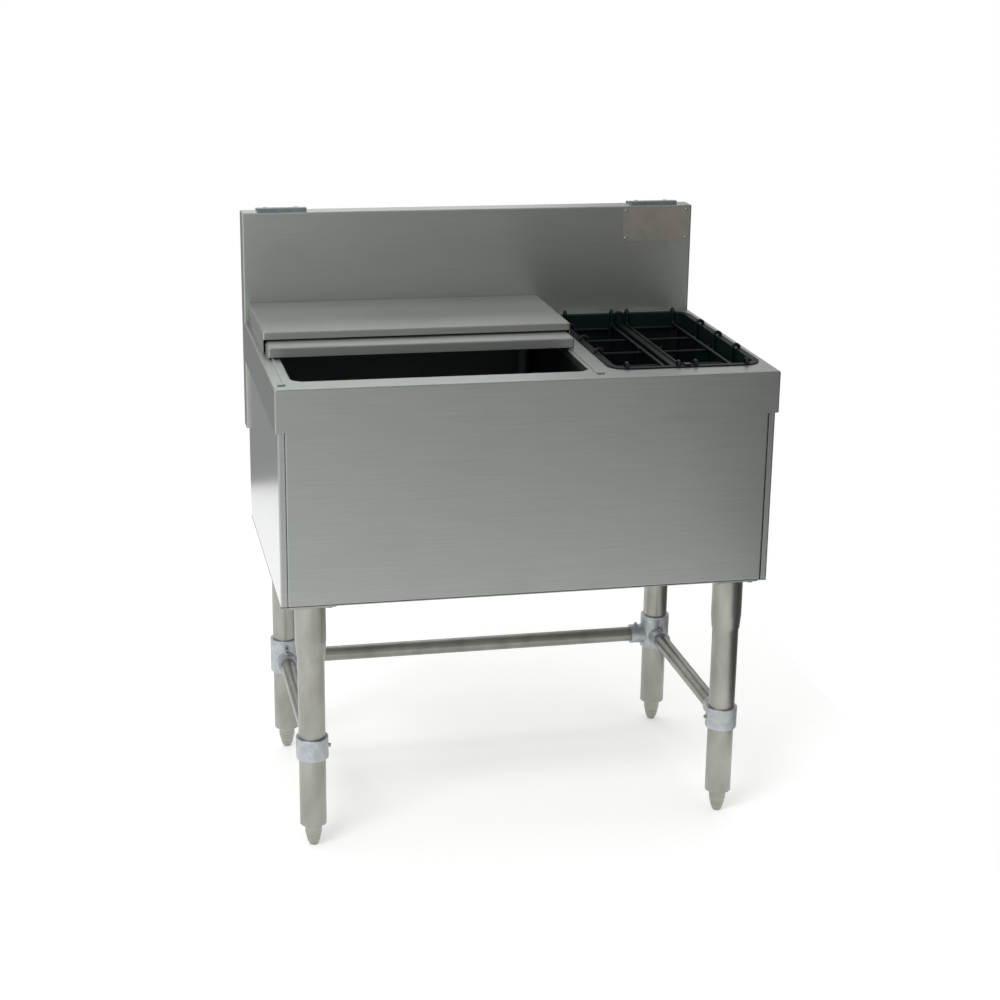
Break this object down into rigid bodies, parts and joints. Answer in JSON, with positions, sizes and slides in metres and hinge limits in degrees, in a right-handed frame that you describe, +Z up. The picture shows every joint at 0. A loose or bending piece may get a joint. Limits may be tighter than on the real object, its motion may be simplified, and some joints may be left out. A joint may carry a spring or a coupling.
{
  "type": "undercounter ice bin",
  "caption": "Stainless underbar ice bin with nested sliding covers, a bottle-rack well, a backsplash and a tubular leg stand.",
  "frame": {"origin": "on the floor, under the middle of the whole unit seen from above (the box of the four feet's floor, the deck's front and the wall clips' back)", "axes": "+X to the unit's right as the user faces it, +Y from the front towards the wall, +Z up"},
  "size_m": [0.762, 0.508, 0.9265],
  "materials": {
    "sheet_steel": "satin",
    "liner_steel": "satin",
    "tube_steel": "satin",
    "cast_metal": "satin",
    "foot_steel": "satin",
    "bracket_steel": "satin",
    "plate_metal": "satin",
    "fasteners": "satin",
    "drain_metal": "satin",
    "brass_nut": "satin",
    "moulded_black": "satin",
    "coated_wire": "satin",
    "nylon": "matte",
    "seal_rubber": "matte",
    "foam": "matte"
  },
  "bodies": {
    "stand": {"rim_deck": "sheet_steel", "front_panel": "sheet_steel", "left_side_panel": "sheet_steel", "right_side_panel": "sheet_steel", "rear_panel": "sheet_steel", "bottom_pan": "sheet_steel", "backsplash": "sheet_steel", "left_cover_guide": "sheet_steel", "right_cover_guide": "sheet_steel", "blank_plate": "plate_metal", "left_wall_bracket": "bracket_steel", "right_wall_bracket": "bracket_steel", "splash_screws": "fasteners", "plate_rivets": "fasteners", "bracket_screws": "fasteners", "socket_bolts": "fasteners", "socket_nuts": "fasteners", "stand_set_screws": "fasteners", "bin_liner": "liner_steel", "well_liner": "moulded_black", "foam_block": "foam", "well_divider_bar": "coated_wire", "bin_drain_flange": "drain_metal", "bin_drain_gasket": "seal_rubber", "bin_drain_strainer": "drain_metal", "bin_drain_locknut": "brass_nut", "well_drain_flange": "drain_metal", "well_drain_gasket": "seal_rubber", "well_drain_strainer": "drain_metal", "well_drain_locknut": "brass_nut", "rear_rail": "tube_steel", "left_rail": "tube_steel", "right_rail": "tube_steel", "front_left_socket": "tube_steel", "front_left_leg": "tube_steel", "front_left_fitting": "cast_metal", "front_left_foot_insert": "nylon", "front_right_socket": "tube_steel", "front_right_leg": "tube_steel", "front_right_fitting": "cast_metal", "front_right_foot_insert": "nylon", "rear_left_socket": "tube_steel", "rear_left_leg": "tube_steel", "rear_left_fitting": "cast_metal", "rear_left_foot_insert": "nylon", "rear_right_socket": "tube_steel", "rear_right_leg": "tube_steel", "rear_right_fitting": "cast_metal", "rear_right_foot_insert": "nylon"},
    "upper_cover": {"upper_cover": "sheet_steel", "upper_cover_glides": "nylon"},
    "lower_cover": {"lower_cover": "sheet_steel", "lower_cover_glides": "nylon"},
    "left_rack": {"left_bottle_rack": "coated_wire"},
    "right_rack": {"right_bottle_rack": "coated_wire"},
    "front_left_foot": {"front_left_foot": "foot_steel"},
    "front_right_foot": {"front_right_foot": "foot_steel"},
    "rear_left_foot": {"rear_left_foot": "foot_steel"},
    "rear_right_foot": {"rear_right_foot": "foot_steel"}
  },
  "joints": [
    {"name": "upper_cover_slide", "type": "slide", "parent": "stand", "child": "upper_cover", "axis": [0, -1, 0], "range_m": [0, 0.206]},
    {"name": "lower_cover_slide", "type": "slide", "parent": "stand", "child": "lower_cover", "axis": [0, -1, 0], "range_m": [-0.042, 0.164]},
    {"name": "left_rack_lift", "type": "slide", "parent": "stand", "child": "left_rack", "axis": [0, 0, 1], "range_m": [0, 0.14]},
    {"name": "right_rack_lift", "type": "slide", "parent": "stand", "child": "right_rack", "axis": [0, 0, 1], "range_m": [0, 0.14]},
    {"name": "front_left_foot_adjust", "type": "slide", "parent": "stand", "child": "front_left_foot", "axis": [0, 0, -1], "range_m": [0, 0.025]},
    {"name": "front_right_foot_adjust", "type": "slide", "parent": "stand", "child": "front_right_foot", "axis": [0, 0, -1], "range_m": [0, 0.025]},
    {"name": "rear_left_foot_adjust", "type": "slide", "parent": "stand", "child": "rear_left_foot", "axis": [0, 0, -1], "range_m": [0, 0.025]},
    {"name": "rear_right_foot_adjust", "type": "slide", "parent": "stand", "child": "rear_right_foot", "axis": [0, 0, -1], "range_m": [0, 0.025]}
  ]
}
